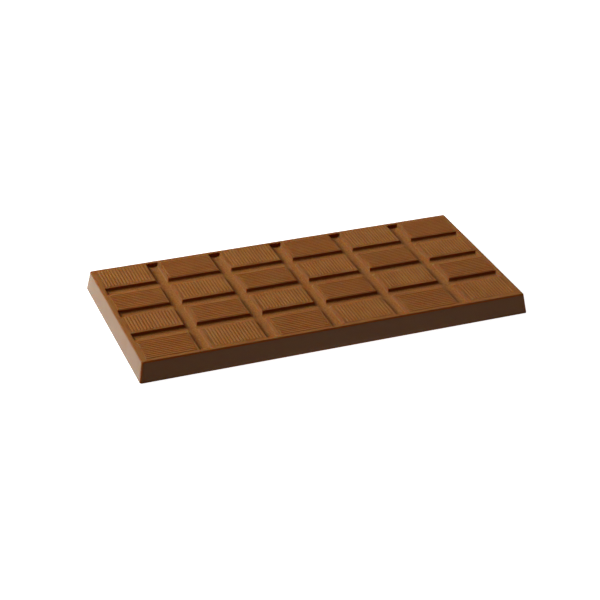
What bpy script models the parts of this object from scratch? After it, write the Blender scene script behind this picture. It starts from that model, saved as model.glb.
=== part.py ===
"""A moulded chocolate bar: one solid tablet of six by four segments.

The tablet is a thin slab whose sides lean in towards the top, as they must to leave a mould.
Shallow grooves with sloping walls and dished floors divide its top into segments, and stop short
of a plain rim.
Each segment carries a field of fine ribs. The ribs run across the bar on one segment and
along it on the next, like a basket weave.

Frame: metres, +Z up, origin at the middle of the flat base, +X along the bar's length.
"""

import bmesh
import bpy

MM = 0.001

# The slab
LENGTH = 150.0 * MM  # along X at the base
WIDTH = 72.2 * MM  # along Y at the base
HEIGHT = 7.72 * MM  # base to the plain top
DRAFT_RUN = 1.31 * MM  # how far each side leans in over the height
CORNER_RADIUS = 0.8 * MM  # upright corners, seen from above
CORNER_STEPS = 4
RIM_RADIUS = 0.5 * MM  # the edge where the sides meet the top
RIM_STEPS = 3

# The segments
COLUMNS = 6
ROWS = 4
COLUMN_PITCH = 24.93 * MM
ROW_PITCH = 17.23 * MM

# The grooves between them. Each has sloping walls and a dished floor that is deepest along its middle.
ACROSS_GROOVE_WIDTH = 4.8 * MM  # grooves that run across the bar, measured at the top
ACROSS_GROOVE_DEPTH = 1.3 * MM
ACROSS_WALL_SLOPE = 2.2  # depth gained for each unit of width
ALONG_GROOVE_WIDTH = 4.9 * MM  # grooves that run along the bar
ALONG_GROOVE_DEPTH = 1.1 * MM
ALONG_WALL_SLOPE = 1.2
END_WALL_SLOPE = 2.0  # where a groove stops
FLOOR_EDGE_SHARE = 0.65  # depth at which the dished floor starts, as a share of the full depth
FLOOR_FILLET = 0.4 * MM  # how softly wall and floor meet
GROOVE_STATIONS = (0.0, 0.13, 0.23, 0.33, 0.5, 0.7, 0.92)  # where a section is drawn: 0 at its edge, 1 amid
GROOVE_END_RIM = 1.65 * MM  # plain top left outside the ends of the grooves
CUTTER_RISE = 1.0 * MM  # how far the cutting shapes reach above the top

# The ribs
ACROSS_RIBS = 15  # on a segment whose ribs run across the bar
ACROSS_RIB_PITCH = 1.187 * MM
ACROSS_RIB_START = 0.95 * MM  # plain top in front of their ends
ACROSS_RIB_STOP = 0.4 * MM  # and behind them
ALONG_RIB_PITCH = 1.16 * MM
ALONG_RIB_START = 0.7 * MM  # plain top beside their ends, on either side
RIB_HEIGHT = 0.2 * MM
RIB_CREST_SHARE = 0.4  # flat crest, as a share of the pitch
RIB_END_RUN = 0.25 * MM  # slope at each end of a rib
VALLEY_LIFT = 0.02 * MM  # the valleys lie this far above the plain top
RIB_ROOT = 0.3 * MM  # how far a rib field reaches down into the slab
EDGE_STRIP = 1.3 * MM  # extra plain top along the bar's outline

CHOCOLATE_COLOUR = (0.262, 0.107, 0.036, 1.0)


def clear_scene():
    """Removes whatever objects the file was opened with."""
    for thing in list(bpy.data.objects):
        bpy.data.objects.remove(thing, do_unlink=True)


def milk_chocolate():
    """Milk chocolate, with the dull gloss that a mould leaves."""
    material = bpy.data.materials.new("milk_chocolate")
    material.use_nodes = True
    shader = material.node_tree.nodes["Principled BSDF"]
    shader.inputs["Base Color"].default_value = CHOCOLATE_COLOUR
    shader.inputs["Roughness"].default_value = 0.42
    shader.inputs["Metallic"].default_value = 0.0
    return material


def new_object(name, shape):
    """Turns a finished bmesh into an object of the scene."""
    bmesh.ops.recalc_face_normals(shape, faces=shape.faces)
    mesh = bpy.data.meshes.new(name)
    shape.to_mesh(mesh)
    shape.free()
    thing = bpy.data.objects.new(name, mesh)
    bpy.context.scene.collection.objects.link(thing)
    return thing


def loft(shape, outlines):
    """Adds one closed solid that passes through outlines of equally many points."""
    rings = [[shape.verts.new(point) for point in outline] for outline in outlines]
    corners = len(rings[0])
    for ring, following in zip(rings, rings[1:]):
        for here in range(corners):
            there = (here + 1) % corners
            shape.faces.new((ring[here], ring[there], following[there], following[here]))
    shape.faces.new(rings[0])
    shape.faces.new(rings[-1])


def rectangle(x, y, half_x, half_y, z):
    """The corners of a level rectangle around a point."""
    return [
        (x - half_x, y - half_y, z),
        (x + half_x, y - half_y, z),
        (x + half_x, y + half_y, z),
        (x - half_x, y + half_y, z),
    ]


def slab():
    """The tablet before its top is shaped: leaning sides, rounded corners and a softened rim."""
    shape = bmesh.new()
    base = rectangle(0.0, 0.0, LENGTH / 2, WIDTH / 2, 0.0)
    top = rectangle(0.0, 0.0, LENGTH / 2 - DRAFT_RUN, WIDTH / 2 - DRAFT_RUN, HEIGHT)
    loft(shape, [base, top])
    uprights = [edge for edge in shape.edges if abs(edge.verts[0].co.z - edge.verts[1].co.z) > HEIGHT / 2]
    bmesh.ops.bevel(
        shape, geom=uprights, offset=CORNER_RADIUS, segments=CORNER_STEPS, profile=0.5, affect="EDGES"
    )
    rim = [edge for edge in shape.edges if min(vert.co.z for vert in edge.verts) > HEIGHT * 0.99]
    bmesh.ops.bevel(shape, geom=rim, offset=RIM_RADIUS, segments=RIM_STEPS, profile=0.5, affect="EDGES")
    return new_object("chocolate_bar", shape)


def groove_places(count, pitch):
    """Where the grooves between so many segments lie, from the bar's middle."""
    return [(number - count / 2) * pitch for number in range(1, count)]


def softer_of(wall, floor):
    """The shallower of two depths, blended where they meet."""
    overlap = max(0.0, 1.0 - abs(wall - floor) / FLOOR_FILLET)
    return min(wall, floor) - overlap * overlap * FLOOR_FILLET / 4


def groove_section(half_width, depth, wall_slope):
    """A groove's section from its edge to its middle, as (inset, depth) pairs."""
    section = []
    for station in GROOVE_STATIONS:
        inset = station * half_width
        dish = 1.0 - (1.0 - station) ** 2
        floor = depth * (FLOOR_EDGE_SHARE + (1.0 - FLOOR_EDGE_SHARE) * dish)
        section.append((inset, max(0.0, softer_of(wall_slope * inset, floor))))
    return section


def across_grooves():
    """The grooves that run across the bar, along Y."""
    shape = bmesh.new()
    half_width = ACROSS_GROOVE_WIDTH / 2
    reach = WIDTH / 2 - DRAFT_RUN - GROOVE_END_RIM
    section = groove_section(half_width, ACROSS_GROOVE_DEPTH, ACROSS_WALL_SLOPE)
    for x in groove_places(COLUMNS, COLUMN_PITCH):
        levels = [rectangle(x, 0.0, half_width, reach, HEIGHT + CUTTER_RISE)]
        for inset, depth in section:
            end = reach - depth / END_WALL_SLOPE
            levels.append(rectangle(x, 0.0, half_width - inset, end, HEIGHT - depth))
        loft(shape, levels)
    return new_object("across_groove_cutter", shape)


def along_grooves():
    """The grooves that run along the bar, along X."""
    shape = bmesh.new()
    half_width = ALONG_GROOVE_WIDTH / 2
    reach = LENGTH / 2 - DRAFT_RUN - GROOVE_END_RIM
    section = groove_section(half_width, ALONG_GROOVE_DEPTH, ALONG_WALL_SLOPE)
    for y in groove_places(ROWS, ROW_PITCH):
        levels = [rectangle(0.0, y, reach, half_width, HEIGHT + CUTTER_RISE)]
        for inset, depth in section:
            end = reach - depth / END_WALL_SLOPE
            levels.append(rectangle(0.0, y, end, half_width - inset, HEIGHT - depth))
        loft(shape, levels)
    return new_object("along_groove_cutter", shape)


def rib_section(ribs, pitch, share):
    """One cross-section of a rib field around its middle, as (place, z) pairs.

    The ribs rise to a share of their full height. Two corners below close the outline.
    """
    half_span = ribs * pitch / 2
    flank = pitch * (1.0 - RIB_CREST_SHARE) / 2
    valley = HEIGHT + VALLEY_LIFT
    crest = valley + share * RIB_HEIGHT
    section = [(-half_span, valley)]
    for number in range(ribs):
        start = number * pitch - half_span
        section.append((start + flank, crest))
        section.append((start + pitch - flank, crest))
        section.append((start + pitch, valley))
    section.append((half_span, HEIGHT - RIB_ROOT))
    section.append((-half_span, HEIGHT - RIB_ROOT))
    return section


def rib_stations(start, stop):
    """Where a field's sections lie along its ribs, and the share of the height they have there."""
    return ((start, 0.0), (start + RIB_END_RUN, 1.0), (stop - RIB_END_RUN, 1.0), (stop, 0.0))


def segment_span(number, count, pitch, groove_width, half_size):
    """The plain top of one segment along one axis: from lip to lip, or to the strip by the outline."""
    outline = half_size - DRAFT_RUN - EDGE_STRIP
    low = (number - count / 2) * pitch + groove_width / 2
    high = low + pitch - groove_width
    if number == 0:
        low = -outline
    if number == count - 1:
        high = outline
    return low, high


def add_across_ribs(shape, left, right, front, rear):
    """Adds ribs that run across the bar, along Y, to one segment."""
    outlines = []
    for y, share in rib_stations(front + ACROSS_RIB_START, rear - ACROSS_RIB_STOP):
        section = rib_section(ACROSS_RIBS, ACROSS_RIB_PITCH, share)
        outlines.append([((left + right) / 2 + place, y, z) for place, z in section])
    loft(shape, outlines)


def add_along_ribs(shape, left, right, front, rear):
    """Adds ribs that run along the bar, along X, to one segment: as many as fit between its edges."""
    ribs = int((rear - front) / ALONG_RIB_PITCH)
    outlines = []
    for x, share in rib_stations(left + ALONG_RIB_START, right - ALONG_RIB_START):
        section = rib_section(ribs, ALONG_RIB_PITCH, share)
        outlines.append([(x, (front + rear) / 2 + place, z) for place, z in section])
    loft(shape, outlines)


def rib_fields():
    """All the ribs, one field for each segment."""
    shape = bmesh.new()
    for row in range(ROWS):
        front, rear = segment_span(row, ROWS, ROW_PITCH, ALONG_GROOVE_WIDTH, WIDTH / 2)
        for column in range(COLUMNS):
            left, right = segment_span(column, COLUMNS, COLUMN_PITCH, ACROSS_GROOVE_WIDTH, LENGTH / 2)
            if (row + column) % 2 == 1:
                add_across_ribs(shape, left, right, front, rear)
            else:
                add_along_ribs(shape, left, right, front, rear)
    return new_object("rib_fields", shape)


def combine(body, other, operation):
    """Adds a Boolean to the body and keeps the other shape as its hidden guide."""
    other.hide_render = True
    other.display_type = "WIRE"
    step = body.modifiers.new(other.name, "BOOLEAN")
    step.operation = operation
    step.solver = "EXACT"
    step.object = other


def build():
    """Makes the whole bar."""
    clear_scene()
    bar = slab()
    bar.data.materials.append(milk_chocolate())
    combine(bar, across_grooves(), "DIFFERENCE")
    combine(bar, along_grooves(), "DIFFERENCE")
    combine(bar, rib_fields(), "UNION")


build()
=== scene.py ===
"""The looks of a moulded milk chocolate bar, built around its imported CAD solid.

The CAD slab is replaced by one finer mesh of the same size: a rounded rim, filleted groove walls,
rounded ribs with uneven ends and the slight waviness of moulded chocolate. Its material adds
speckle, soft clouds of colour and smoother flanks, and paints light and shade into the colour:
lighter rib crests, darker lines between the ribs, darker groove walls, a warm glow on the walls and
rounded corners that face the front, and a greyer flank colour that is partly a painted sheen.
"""

import math

import bmesh
import bpy
import numpy as np
from mathutils import Matrix, Vector, noise


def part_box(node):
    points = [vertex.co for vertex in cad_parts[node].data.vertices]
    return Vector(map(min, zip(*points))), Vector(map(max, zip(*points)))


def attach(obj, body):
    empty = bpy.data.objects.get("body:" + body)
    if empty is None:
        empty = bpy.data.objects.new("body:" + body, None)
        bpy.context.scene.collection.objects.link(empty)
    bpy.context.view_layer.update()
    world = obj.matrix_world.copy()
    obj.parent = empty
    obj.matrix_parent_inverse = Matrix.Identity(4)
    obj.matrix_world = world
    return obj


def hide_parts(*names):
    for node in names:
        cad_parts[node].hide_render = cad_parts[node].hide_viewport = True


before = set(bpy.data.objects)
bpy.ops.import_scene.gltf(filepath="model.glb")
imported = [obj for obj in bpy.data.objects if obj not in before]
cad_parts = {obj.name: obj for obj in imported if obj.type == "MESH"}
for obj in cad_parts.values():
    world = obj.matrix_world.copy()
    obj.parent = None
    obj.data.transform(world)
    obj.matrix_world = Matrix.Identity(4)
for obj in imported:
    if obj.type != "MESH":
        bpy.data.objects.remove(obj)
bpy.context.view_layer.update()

MM = 0.001
BAR_NODE = "chocolate_bar"
BAR_LOW, BAR_HIGH = (Vector(corner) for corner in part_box(BAR_NODE))

# The slab, as in its CAD source
HALF_LENGTH = (BAR_HIGH.x - BAR_LOW.x) / 2
HALF_WIDTH = (BAR_HIGH.y - BAR_LOW.y) / 2
TOP = 7.72 * MM  # the plain top, below the crests of the ribs
DRAFT_RUN = 1.31 * MM  # how far each side leans in over the height
CORNER_RADIUS = 0.8 * MM  # upright corners, seen from above
RIM_RADIUS = 0.6 * MM  # the edge where the sides meet the top
RIM_MARGIN = 0.15 * MM  # flat ring between the rounded rim and the shaped top
BASE_RADIUS = 0.1 * MM
CORNER_STEPS, RIM_STEPS, SIDE_STEPS, BASE_STEPS = 6, 7, 7, 4

# The segments and the grooves between them
COLUMNS, ROWS = 6, 4
COLUMN_PITCH, ROW_PITCH = 24.93 * MM, 17.23 * MM
ACROSS_GROOVE_WIDTH, ALONG_GROOVE_WIDTH = 4.8 * MM, 4.9 * MM  # at the top
ACROSS_DEPTH, ALONG_DEPTH = 1.3 * MM, 1.1 * MM
ACROSS_SLOPE, ALONG_SLOPE = 2.2, 1.2  # of the walls: depth gained for each unit of width
END_SLOPE = 2.0  # of the walls that close a groove's ends
FLOOR_START = 0.65  # depth at which the dished floor starts, as a share of the full depth
LIP_RUN = 0.12 * MM  # the lips are rounded this far to either side
WALL_FILLET = 0.4 * MM  # blend between wall and floor
END_FILLET = 0.3 * MM  # blend at a groove's closed ends
CROSSING_SOFTNESS = 0.06 * MM  # blend where two grooves cross
GROOVE_END_RIM = 1.65 * MM  # plain top outside the ends of the grooves

# The ribs
ACROSS_RIBS = 15  # on a segment whose ribs run across the bar
ACROSS_RIB_PITCH, ALONG_RIB_PITCH = 1.187 * MM, 1.16 * MM
ACROSS_RIB_HEIGHT, ALONG_RIB_HEIGHT = 0.11 * MM, 0.16 * MM
VALLEY_DEPTH = 0.05 * MM  # of the lines between ribs, below the plain top
BEAD_POWER = 2.2  # how full the rounded ribs are: 2 is a parabola
RIB_END_RUN = 0.3 * MM  # rounding at each end of a rib
HEIGHT_SPREAD = 0.05  # unevenness of the ribs' heights, as a share
END_SPREAD = 0.06 * MM  # unevenness of the ribs' ends
RANDOM_SEED = 7
ACROSS_RIB_START, ACROSS_RIB_STOP = 0.95 * MM, 0.4 * MM  # plain top before and behind their ends
ALONG_RIB_START = 0.7 * MM  # plain top beside their ends
EDGE_STRIP = 1.3 * MM  # extra plain top along the bar's outline
FIELD_PAD = 0.12 * MM  # plain ring around each field of ribs

# How finely the top is cut
LIP_SAMPLES, BOWL_STEPS, PLAIN_SAMPLES = 5, 14, 9
BOWL_RUN = 2.4 * MM  # from a groove's edge to about its middle
LIP_MARGIN = 0.1 * MM  # from the rounded lip to the first cut outside it
HALF_GAP = 0.05 * MM  # cuts nearer to a groove's middle than this are left out
LEAST_GAP = 0.02 * MM  # cuts nearer to each other than this are merged
HOLE_MARGIN = 0.01 * MM  # least room between a field of ribs and the cuts around it
RIB_SAMPLES = (0.0, 0.07, 0.17, 0.32, 0.5, 0.68, 0.83, 0.93)  # places across one rib
RIB_END_SAMPLES = (0.0, 0.04 * MM, 0.1 * MM, 0.2 * MM, 0.34 * MM, 0.5 * MM)  # places from a rib's end
RIB_STEP = 1.1 * MM  # between the places further along it

# The waviness of cast chocolate
WAVE_LENGTH, WAVE_HEIGHT = 6.0 * MM, 0.035 * MM
FINE_WAVE_SHARE = 0.3  # length and height of the finer waves, as a share of the main ones
WAVE_FADE = 1.0 * MM  # the waves fade out below this height

# The material
DEEP_CHOCOLATE = (0.22, 0.080, 0.019, 1.0)
PALE_CHOCOLATE = (0.52, 0.212, 0.061, 1.0)
# The flanks' own smoother chocolate, whose greyer tone is partly a painted sheen of the bright table
# reflected in them
FLANK_CHOCOLATE_AND_SHEEN = (0.27, 0.131, 0.062, 1.0)
# Painted glow: a warm, saturated colour on front-facing walls and rounded upright corners, standing in for
# light seeping through them
PAINTED_GLOW_CHOCOLATE = (0.45, 0.108, 0.008, 1.0)
MIDDLE_TONE = 0.5  # a tone is a place from deep (0) to pale (1)
PAINTED_CREST_LIGHT, PAINTED_VALLEY_SHADE, PAINTED_WALL_SHADE = 0.18, -0.45, -0.35  # painted light added on crests, painted shade in valleys and on groove walls
TOP_SPECKS, FLOOR_SPECKS = 0.35, 1.4  # spread of tone from specks on the top and on the groove floors
CLOUD_SPREAD, CLOUD_ROUGHNESS = 0.2, 0.12  # spread of tone and roughness from clouds
SPECK_SIZE, CLOUD_SIZE = 0.55 * MM, 6.0 * MM
UPRIGHT_GLOW_SHARE = 0.5  # how much of the painted glow the rounded upright corners take
TOP_ROUGHNESS, SIDE_ROUGHNESS = 0.5, 0.3
TOP_GRAIN, FLOOR_GRAIN = 0.25, 1.0  # strength of the fine relief
GRAIN_DEPTH = 0.06 * MM
SPECULAR_LEVEL = 0.04
GLOW_REACH = (1.0, 0.3, 0.06)  # how far red, green and blue light spread inside, in millimetres

# Where the material's masks begin and end: by the parts of the surface normal, then by height
FLANK_FACING = 0.2, 0.35  # upward part
WALL_FACING = 0.55, 0.85
FLOOR_FACING = 0.75, 0.9
# Surfaces facing the front take the painted glow
FRONT_FACING = -0.45, -0.15  # backward part
UPRIGHT_SLANT = 0.1, 0.35  # sideward part times backward part
CREST_LEVELS = TOP + 0.03 * MM, TOP + 0.1 * MM
VALLEY_LEVELS = TOP - 0.05 * MM, TOP - 0.01 * MM
GROOVE_LEVELS = TOP - 0.12 * MM, TOP - 0.07 * MM
FLOOR_LEVELS = TOP - 0.9 * MM, TOP - 0.4 * MM

# The view and the studio
SENSOR_WIDTH, LENS = 36.0, 100.5
VIEW_AZIMUTH, VIEW_ELEVATION, VIEW_ROLL = -21.70, 29.52, 1.27
VIEW_DISTANCE = 630.6 * MM
VIEW_TARGET = (-1.69 * MM, 0.81 * MM, 0.0)
NEAR_CLIP = 0.05
FLOOR_HALF = 1.0
FLOOR_DROP = 0.3 * MM  # the floor lies this far below the base
FLOOR_WHITE = (0.9, 0.9, 0.9, 1.0)
WARM_FILL, FILL_STRENGTH = (1.0, 0.72, 0.45, 1.0), 0.045
ORIGIN = (0.0, 0.0, 0.0)


def camera():
    """Long lens, from the left and a little above, rolled by a degree."""
    data = bpy.data.cameras.new("camera")
    data.sensor_width = SENSOR_WIDTH
    data.lens = LENS
    data.clip_start = NEAR_CLIP
    thing = bpy.data.objects.new("camera", data)
    azimuth = math.radians(VIEW_AZIMUTH)
    elevation = math.radians(VIEW_ELEVATION)
    roll = math.radians(VIEW_ROLL)
    flat = math.cos(elevation)
    back = Vector((math.sin(azimuth) * flat, -math.cos(azimuth) * flat, math.sin(elevation)))
    right = (-back).cross(Vector((0, 0, 1))).normalized()
    up = right.cross(-back).normalized()
    rolled_right = right * math.cos(roll) + up * math.sin(roll)
    rolled_up = -right * math.sin(roll) + up * math.cos(roll)
    matrix = Matrix((rolled_right, rolled_up, back)).transposed().to_4x4()
    matrix.translation = Vector(VIEW_TARGET) + back * VIEW_DISTANCE
    thing.matrix_world = matrix
    bpy.context.scene.collection.objects.link(thing)
    bpy.context.scene.camera = thing


# ---- the height of the plain top ----

def smooth_max(a, b, width):
    """The larger of two values, rounded where they are within width of each other."""
    overlap = np.clip(1.0 - np.abs(a - b) / width, 0.0, None)
    return np.maximum(a, b) + overlap * overlap * width / 4


def smooth_min(a, b, width):
    """The smaller of two values, rounded in the same way."""
    return -smooth_max(-a, -b, width)


def from_nearest(values, pitch, most):
    """Distance to the nearest line of a row of lines at whole pitches, up to the most-th each way."""
    return np.abs(values - pitch * np.clip(np.round(values / pitch), -most, most))


def past_lip(inset):
    """Distance inside an edge, eased in over the rounded lip."""
    eased = np.clip(inset + LIP_RUN, 0.0, 2 * LIP_RUN) ** 2 / (4 * LIP_RUN)
    return eased + np.clip(inset - LIP_RUN, 0.0, None)


def hollow(inset, half_width, depth, slope):
    """Depth of a groove at a distance inside its edge: a sloping wall, then a dished floor."""
    across = np.clip(inset / half_width, 0.0, 1.0)
    floor = depth * (FLOOR_START + (1.0 - FLOOR_START) * (1.0 - (1.0 - across) ** 2))
    return smooth_min(slope * past_lip(inset), floor, WALL_FILLET)


def groove_depth(x, y):
    """Depth below the plain top that the two sets of grooves give together."""
    end_x = HALF_LENGTH - DRAFT_RUN - GROOVE_END_RIM - np.abs(x)
    end_y = HALF_WIDTH - DRAFT_RUN - GROOVE_END_RIM - np.abs(y)
    side_x = ACROSS_GROOVE_WIDTH / 2 - from_nearest(x, COLUMN_PITCH, COLUMNS // 2 - 1)
    side_y = ALONG_GROOVE_WIDTH / 2 - from_nearest(y, ROW_PITCH, ROWS // 2 - 1)
    across = hollow(side_x, ACROSS_GROOVE_WIDTH / 2, ACROSS_DEPTH, ACROSS_SLOPE)
    along = hollow(side_y, ALONG_GROOVE_WIDTH / 2, ALONG_DEPTH, ALONG_SLOPE)
    across = smooth_min(across, END_SLOPE * past_lip(end_y), END_FILLET)
    along = smooth_min(along, END_SLOPE * past_lip(end_x), END_FILLET)
    return np.clip(smooth_max(across, along, CROSSING_SOFTNESS), 0.0, None)


def plain_top(x, y):
    """Height of the top without its ribs."""
    return TOP - groove_depth(x, y)


# ---- where the segments, the rib fields and the cuts of the top lie ----

def segment_span(number, count, pitch, groove_width, half_size):
    """The plain top of one segment along one axis: from lip to lip, or to the strip by the outline."""
    outline = half_size - DRAFT_RUN - EDGE_STRIP
    low = (number - count / 2) * pitch + groove_width / 2
    high = low + pitch - groove_width
    if number == 0:
        low = -outline
    if number == count - 1:
        high = outline
    return low, high


def fields():
    """Every rib field: its left, right, front and rear, and whether its ribs run across the bar."""
    for row in range(ROWS):
        front, rear = segment_span(row, ROWS, ROW_PITCH, ALONG_GROOVE_WIDTH, HALF_WIDTH)
        for column in range(COLUMNS):
            left, right = segment_span(column, COLUMNS, COLUMN_PITCH, ACROSS_GROOVE_WIDTH, HALF_LENGTH)
            if (row + column) % 2 == 1:
                middle, reach = (left + right) / 2, ACROSS_RIBS * ACROSS_RIB_PITCH / 2
                yield middle - reach, middle + reach, front + ACROSS_RIB_START, rear - ACROSS_RIB_STOP, True
            else:
                ribs = int((rear - front) / ALONG_RIB_PITCH)
                middle, reach = (front + rear) / 2, ribs * ALONG_RIB_PITCH / 2
                yield left + ALONG_RIB_START, right - ALONG_RIB_START, middle - reach, middle + reach, False


def wall_stations():
    """Distances inside a groove's edge at which its wall is cut."""
    lip = np.linspace(-LIP_RUN, LIP_RUN, LIP_SAMPLES)
    bowl = LIP_RUN + (BOWL_RUN - LIP_RUN) * (np.arange(1, BOWL_STEPS + 1) / BOWL_STEPS)
    return np.concatenate(([-LIP_RUN - LIP_MARGIN], lip, bowl))


def cuts(count, pitch, groove_width, half_size):
    """Where the plain top is cut along one axis."""
    lines = []
    for number in range(1, count):
        middle = (number - count / 2) * pitch
        offsets = groove_width / 2 - wall_stations()
        offsets = offsets[offsets > HALF_GAP]
        lines += list(middle - offsets) + [middle] + list(middle + offsets)
    ends = half_size - DRAFT_RUN - GROOVE_END_RIM - wall_stations()
    lines += list(ends) + list(-ends)
    for number in range(count):
        low, high = segment_span(number, count, pitch, groove_width, half_size)
        lines += list(np.linspace(low + 2 * LIP_RUN, high - 2 * LIP_RUN, PLAIN_SAMPLES))
    lines = sorted(lines)
    kept = [lines[0]]
    for line in lines[1:]:
        if line - kept[-1] > LEAST_GAP:
            kept.append(line)
    return np.array(kept)


def holes_for_fields(xs, ys):
    """The cells that each rib field takes the place of, as index limits: left, right, front, rear."""
    holes = []
    margin = FIELD_PAD + HOLE_MARGIN
    for left, right, front, rear, _ in fields():
        columns = np.searchsorted(xs, left - margin) - 1, np.searchsorted(xs, right + margin)
        rows = np.searchsorted(ys, front - margin) - 1, np.searchsorted(ys, rear + margin)
        holes.append((*columns, *rows))
    return holes


# ---- the mesh ----

def edges_around(shape, loop):
    """The edges of a closed loop of points, in order."""
    return [shape.edges.get((here, there)) for here, there in zip(loop, loop[1:] + loop[:1])]


def rib_profile(place):
    """Rounded bead: 0 in the valleys at whole numbers, 1 on the crest between them."""
    return 1.0 - np.abs(2.0 * (place - np.floor(place)) - 1.0) ** BEAD_POWER


def rib_field(shape, left, right, front, rear, across, random):
    """Adds a grid of rounded ribs, and returns its outer edges."""
    middle_x, middle_y = (left + right) / 2, (front + rear) / 2
    span, run = (right - left, rear - front) if across else (rear - front, right - left)
    pitch = ACROSS_RIB_PITCH if across else ALONG_RIB_PITCH
    rib_height = ACROSS_RIB_HEIGHT if across else ALONG_RIB_HEIGHT
    count = round(span / pitch)
    over = [(number + sample) * pitch for number in range(count) for sample in RIB_SAMPLES] + [span]
    over = np.array([-FIELD_PAD] + over + [span + FIELD_PAD]) - span / 2
    end = np.array((-FIELD_PAD, *RIB_END_SAMPLES))
    steps = round((run - 2 * end[-1]) / RIB_STEP)
    middle = np.linspace(end[-1], run - end[-1], steps + 1)[1:-1]
    along = np.concatenate((end, middle, run - end[::-1])) - run / 2

    number = np.clip(np.floor((over + span / 2) / pitch).astype(int), 0, count - 1)
    heights = rib_height * (1.0 + HEIGHT_SPREAD * random.standard_normal(count))
    starts = END_SPREAD * random.random(count)
    stops = END_SPREAD * random.random(count)
    bead = rib_profile((over + span / 2) / pitch)
    rows = []
    for place in along:
        from_end = np.minimum(place + run / 2 - starts[number], run / 2 - place - stops[number])
        share = np.clip(from_end / RIB_END_RUN, 0.0, 1.0)
        window = np.sqrt(1.0 - (1.0 - share) ** 2)
        z = window * ((heights[number] + VALLEY_DEPTH) * bead - VALLEY_DEPTH)
        z[[0, -1]] = 0.0
        if across:
            x, y = middle_x + over, np.full_like(over, middle_y + place)
        else:
            x, y = np.full_like(over, middle_x + place), middle_y + over
        rows.append([shape.verts.new(point) for point in zip(x, y, z + plain_top(x, y))])
    for row, after in zip(rows, rows[1:]):
        for k in range(len(row) - 1):
            corners = (row[k], row[k + 1], after[k + 1], after[k])
            shape.faces.new(corners if across else reversed(corners))
    outer = rows[0] + [row[-1] for row in rows[1:]]
    outer += rows[-1][-2::-1] + [row[0] for row in rows[-2:0:-1]]
    return edges_around(shape, outer)


def grooved_top(shape, xs, ys, holes):
    """Adds the plain top with its grooves, left open at the rib fields. Returns its points."""
    heights = plain_top(*np.meshgrid(xs, ys, indexing="ij"))
    inside = np.zeros((len(xs), len(ys)), bool)
    open_cell = np.zeros((len(xs) - 1, len(ys) - 1), bool)
    for left, right, front, rear in holes:
        inside[left + 1:right, front + 1:rear] = True
        open_cell[left:right, front:rear] = True
    points = {}
    for i, x in enumerate(xs):
        for j, y in enumerate(ys):
            if not inside[i, j]:
                points[i, j] = shape.verts.new((x, y, heights[i, j]))
    for i, j in np.argwhere(~open_cell):
        shape.faces.new((points[i, j], points[i + 1, j], points[i + 1, j + 1], points[i, j + 1]))
    return points


def ribbed_fields(shape, points, holes):
    """Adds the rib fields and joins each one to the edge of its hole in the top."""
    random = np.random.default_rng(RANDOM_SEED)
    for field, (left, right, front, rear) in zip(fields(), holes):
        edges = rib_field(shape, *field, random)
        rim = [points[i, front] for i in range(left, right)]
        rim += [points[right, j] for j in range(front, rear)]
        rim += [points[i, rear] for i in range(right, left, -1)]
        rim += [points[left, j] for j in range(rear, front, -1)]
        edges += edges_around(shape, rim)
        bmesh.ops.triangle_fill(shape, edges=edges, use_beauty=True, use_dissolve=False, normal=(0, 0, 1))


def rim_profile():
    """Over the rounded rim, down the leaning side and round to the base, as (inset, z) pairs."""
    lean = math.atan2(DRAFT_RUN, TOP)
    turn = math.pi / 2 - lean
    centre = RIM_RADIUS * (math.sin(turn) - (1 - math.cos(turn)) * math.tan(lean))
    profile = [(centre + RIM_MARGIN, TOP)]
    for k in range(RIM_STEPS + 1):
        angle = turn * k / RIM_STEPS
        profile.append((centre - RIM_RADIUS * math.sin(angle), TOP - RIM_RADIUS * (1 - math.cos(angle))))
    side_z = profile[-1][1]
    foot_z = BASE_RADIUS * (1 + math.sin(lean))
    for k in range(1, SIDE_STEPS):
        z = side_z + (foot_z - side_z) * k / SIDE_STEPS
        profile.append((-(TOP - z) * math.tan(lean), z))
    centre = -(TOP - foot_z) * math.tan(lean) + BASE_RADIUS * math.cos(lean)
    for k in range(BASE_STEPS + 1):
        angle = lean - (math.pi / 2 + lean) * k / BASE_STEPS
        profile.append((centre - BASE_RADIUS * math.cos(angle), BASE_RADIUS * (1 + math.sin(angle))))
    return profile


def ring_points(inset, z, xs, ys):
    """A rounded rectangle at an inset from the top outline, with points at the cuts of the top."""
    half_x = HALF_LENGTH - DRAFT_RUN - inset
    half_y = HALF_WIDTH - DRAFT_RUN - inset
    radius = CORNER_RADIUS - max(inset, 0.0)
    points = []

    def corner(sign_x, sign_y, start):
        for k in range(CORNER_STEPS + 1):
            angle = start + math.pi / 2 * k / CORNER_STEPS
            x = sign_x * (half_x - radius) + radius * math.cos(angle)
            y = sign_y * (half_y - radius) + radius * math.sin(angle)
            points.append((x, y, z))

    points += [(x, -half_y, z) for x in xs]
    corner(1, -1, -math.pi / 2)
    points += [(half_x, y, z) for y in ys]
    corner(1, 1, 0.0)
    points += [(x, half_y, z) for x in xs[::-1]]
    corner(-1, 1, math.pi / 2)
    points += [(-half_x, y, z) for y in ys[::-1]]
    corner(-1, -1, math.pi)
    return points


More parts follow.
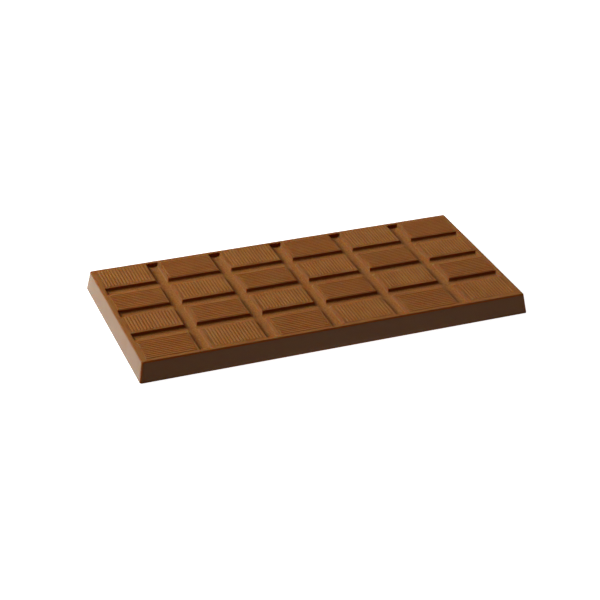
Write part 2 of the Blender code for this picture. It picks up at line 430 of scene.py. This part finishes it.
def sides_and_base(shape, xs, ys, points):
    """Adds the rim, the leaning sides and the base around the grooved top."""
    last_x, last_y = len(xs) - 1, len(ys) - 1
    fan = CORNER_STEPS + 1
    inner = [points[i, 0] for i in range(last_x + 1)] + [points[last_x, 0]] * fan
    inner += [points[last_x, j] for j in range(last_y + 1)] + [points[last_x, last_y]] * fan
    inner += [points[i, last_y] for i in range(last_x, -1, -1)] + [points[0, last_y]] * fan
    inner += [points[0, j] for j in range(last_y, -1, -1)] + [points[0, 0]] * fan
    rings = [inner]
    for inset, z in rim_profile():
        rings.append([shape.verts.new(point) for point in ring_points(inset, z, xs, ys)])
    for ring, after in zip(rings, rings[1:]):
        for here in range(len(ring)):
            there = (here + 1) % len(ring)
            corners = [ring[here], after[here], after[there]]
            if ring[there] is not ring[here]:
                corners.append(ring[there])
            shape.faces.new(corners)
    shape.faces.new(rings[-1])


def unsettle(shape):
    """Gives the surfaces the slight waviness of cast chocolate. The base stays flat."""
    shape.normal_update()
    shifts = []
    for vertex in shape.verts:
        wave = noise.noise(vertex.co / WAVE_LENGTH)
        wave += FINE_WAVE_SHARE * noise.noise(vertex.co / (FINE_WAVE_SHARE * WAVE_LENGTH))
        fade = min(vertex.co.z / WAVE_FADE, 1.0) ** 2
        shifts.append(vertex.normal * (WAVE_HEIGHT * wave * fade))
    for vertex, shift in zip(shape.verts, shifts):
        vertex.co += shift


def tablet():
    """The whole bar as one closed mesh."""
    shape = bmesh.new()
    xs = cuts(COLUMNS, COLUMN_PITCH, ACROSS_GROOVE_WIDTH, HALF_LENGTH)
    ys = cuts(ROWS, ROW_PITCH, ALONG_GROOVE_WIDTH, HALF_WIDTH)
    holes = holes_for_fields(xs, ys)
    points = grooved_top(shape, xs, ys, holes)
    ribbed_fields(shape, points, holes)
    sides_and_base(shape, xs, ys, points)
    bmesh.ops.recalc_face_normals(shape, faces=shape.faces)
    unsettle(shape)
    mesh = bpy.data.meshes.new("chocolate_tablet")
    shape.to_mesh(mesh)
    shape.free()
    mesh.shade_smooth()
    thing = bpy.data.objects.new("chocolate_tablet", mesh)
    bpy.context.scene.collection.objects.link(thing)
    return thing


# ---- the material ----

def milk_chocolate():
    """Matt milk chocolate: grainy on the groove floors, smoother and glossier on the flanks, with painted
    light and shade in its colour.
    """
    material = bpy.data.materials.new("milk_chocolate")
    material.use_nodes = True
    tree = material.node_tree
    shader = tree.nodes["Principled BSDF"]

    def connect(value, socket):
        if isinstance(value, bpy.types.NodeSocket):
            tree.links.new(value, socket)
        else:
            socket.default_value = value

    def math_node(operation, *values):
        node = tree.nodes.new("ShaderNodeMath")
        node.operation = operation
        for value, socket in zip(values, node.inputs):
            connect(value, socket)
        return node.outputs[0]

    def add(a, b):
        return math_node("ADD", a, b)

    def times(a, b):
        return math_node("MULTIPLY", a, b)

    def minus(a, b):
        return math_node("SUBTRACT", a, b)

    def remap(value, low, high, to_low, to_high):
        """Follows a value from low to high with a result from to_low to to_high, held beyond them."""
        node = tree.nodes.new("ShaderNodeMapRange")
        connect(value, node.inputs["Value"])
        for name, number in zip(("From Min", "From Max", "To Min", "To Max"), (low, high, to_low, to_high)):
            connect(number, node.inputs[name])
        return node.outputs["Result"]

    def mix(share, a, b):
        node = tree.nodes.new("ShaderNodeMix")
        node.data_type = "RGBA"
        connect(share, node.inputs["Factor"])
        connect(a, node.inputs["A"])
        connect(b, node.inputs["B"])
        return node.outputs["Result"]

    def grain(size, roughness):
        """Noise with features of about the given size, around 0.5."""
        node = tree.nodes.new("ShaderNodeTexNoise")
        tree.links.new(place, node.inputs["Vector"])
        node.inputs["Scale"].default_value = 1.0 / size
        node.inputs["Detail"].default_value = 2.0
        node.inputs["Roughness"].default_value = roughness
        return node.outputs["Fac"]

    def parts_of(vector):
        node = tree.nodes.new("ShaderNodeSeparateXYZ")
        tree.links.new(vector, node.inputs[0])
        return node.outputs["X"], node.outputs["Y"], node.outputs["Z"]

    # Where the surface lies and which way it faces, each mask from 0 to 1
    place = tree.nodes.new("ShaderNodeTexCoord").outputs["Object"]
    height = parts_of(place)[2]
    normal = tree.nodes.new("ShaderNodeNewGeometry").outputs["Normal"]
    facing_right, facing_back, facing_up = parts_of(normal)
    flank = remap(facing_up, *FLANK_FACING, 1.0, 0.0)
    below = remap(height, *GROOVE_LEVELS, 1.0, 0.0)
    sunken = remap(height, *FLOOR_LEVELS, 1.0, 0.0)
    floor = times(sunken, remap(facing_up, *FLOOR_FACING, 0.0, 1.0))
    wall = times(below, remap(facing_up, *WALL_FACING, 1.0, 0.0))
    slant = math_node("ABSOLUTE", times(facing_right, facing_back))
    upright = remap(slant, *UPRIGHT_SLANT, 0.0, UPRIGHT_GLOW_SHARE)
    facing_front = remap(facing_back, *FRONT_FACING, 1.0, 0.0)
    # Mask of the painted glow: the groove walls and rounded upright corners that face the front
    edge = times(math_node("MAXIMUM", upright, minus(wall, flank)), facing_front)

    # Colour, from a tone between deep and pale, with painted light on crests, painted shade in valleys and
    # on walls, and a painted glow at the front
    clouds = grain(CLOUD_SIZE, 0.5)
    specks = grain(SPECK_SIZE, 0.6)
    # Painted light: the rib crests are coloured lighter, as if lit
    crest = remap(height, *CREST_LEVELS, 0.0, PAINTED_CREST_LIGHT)
    # Painted shade: the lines between the ribs are coloured darker, as if shaded
    valley_shade = remap(height, *VALLEY_LEVELS, PAINTED_VALLEY_SHADE, 0.0)
    speck_share = remap(floor, 0.0, 1.0, TOP_SPECKS, FLOOR_SPECKS)
    tone = add(crest, times(valley_shade, minus(1.0, below)))
    # Painted shade: the groove walls are coloured darker
    tone = add(tone, times(wall, PAINTED_WALL_SHADE))
    tone = add(tone, times(minus(specks, 0.5), speck_share))
    tone = add(tone, times(minus(clouds, 0.5), CLOUD_SPREAD))
    tone = add(tone, MIDDLE_TONE)
    colour = mix(flank, mix(tone, DEEP_CHOCOLATE, PALE_CHOCOLATE), FLANK_CHOCOLATE_AND_SHEEN)
    connect(mix(edge, colour, PAINTED_GLOW_CHOCOLATE), shader.inputs["Base Color"])

    rough = remap(flank, 0.0, 1.0, TOP_ROUGHNESS, SIDE_ROUGHNESS)
    rough = add(rough, times(minus(clouds, 0.5), CLOUD_ROUGHNESS))
    connect(rough, shader.inputs["Roughness"])

    bump = tree.nodes.new("ShaderNodeBump")
    bump.inputs["Distance"].default_value = GRAIN_DEPTH
    connect(specks, bump.inputs["Height"])
    connect(remap(floor, 0.0, 1.0, TOP_GRAIN, FLOOR_GRAIN), bump.inputs["Strength"])
    connect(bump.outputs["Normal"], shader.inputs["Normal"])

    shader.inputs["Specular IOR Level"].default_value = SPECULAR_LEVEL
    shader.inputs["Subsurface Weight"].default_value = 1.0
    shader.inputs["Subsurface Radius"].default_value = GLOW_REACH
    shader.inputs["Subsurface Scale"].default_value = MM
    return material


# ---- the studio ----

def from_direction(azimuth, elevation, distance):
    """A place seen from the bar at an azimuth, counted to the left of straight behind, and an elevation."""
    azimuth, elevation = math.radians(azimuth), math.radians(elevation)
    flat = distance * math.cos(elevation)
    return Vector((-flat * math.sin(azimuth), flat * math.cos(azimuth), distance * math.sin(elevation)))


def area_light(name, place, target, size, radiance, colour=(1.0, 1.0, 1.0)):
    """A rectangular panel of even brightness, unseen by the camera."""
    data = bpy.data.lights.new(name, "AREA")
    data.shape = "RECTANGLE"
    data.size, data.size_y = size
    data.energy = radiance * math.pi * size[0] * size[1]
    data.color = colour
    thing = bpy.data.objects.new(name, data)
    thing.location = place
    thing.rotation_euler = (Vector(target) - Vector(place)).to_track_quat("-Z", "Y").to_euler()
    thing.visible_camera = False
    bpy.context.scene.collection.objects.link(thing)


def floor_plane():
    """A plain white floor that glows by itself, takes no shadow and lights nothing."""
    low, high = -FLOOR_HALF, FLOOR_HALF
    mesh = bpy.data.meshes.new("floor")
    mesh.from_pydata([(low, low, 0), (high, low, 0), (high, high, 0), (low, high, 0)], [], [(0, 1, 2, 3)])
    floor = bpy.data.objects.new("floor", mesh)
    floor.location.z = -FLOOR_DROP
    bpy.context.scene.collection.objects.link(floor)
    material = bpy.data.materials.new("floor")
    material.use_nodes = True
    shader = material.node_tree.nodes["Principled BSDF"]
    shader.inputs["Base Color"].default_value = FLOOR_WHITE
    shader.inputs["Emission Color"].default_value = (1.0, 1.0, 1.0, 1.0)
    shader.inputs["Emission Strength"].default_value = 1.0
    mesh.materials.append(material)
    floor.visible_diffuse = False
    floor.visible_glossy = False
    floor.visible_shadow = False


def studio():
    """Soft light from behind on the left, and weaker light that stands for the bright table."""
    scene = bpy.context.scene
    scene.view_settings.view_transform = "Standard"
    scene.world = bpy.data.worlds.new("studio")
    scene.world.use_nodes = True
    background = scene.world.node_tree.nodes["Background"]
    background.inputs["Color"].default_value = WARM_FILL
    background.inputs["Strength"].default_value = FILL_STRENGTH
    floor_plane()
    area_light("key", from_direction(47.0, 29.0, 1.3), ORIGIN, (0.26, 0.52), 41.8)
    area_light("side", from_direction(-50.0, 35.0, 1.0), ORIGIN, (0.4, 0.3), 2.5)
    # The table's sheen in the left flank, then in the front one
    area_light("table_sheen", from_direction(28.0, -22.0, 1.0), ORIGIN, (0.5, 0.5), 2.75, (0.98, 1.0, 0.88))
    area_light("table_front", from_direction(-160.8, -11.4, 1.0), ORIGIN, (0.3, 0.3), 1.8)
    area_light("table_glow", (0.0, 0.0, -0.1 * MM), (0.0, 0.0, 1.0), (1.2, 1.2), 0.33)


camera()
studio()
bar = tablet()
bar.data.materials.append(milk_chocolate())
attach(bar, "root")
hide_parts(BAR_NODE)
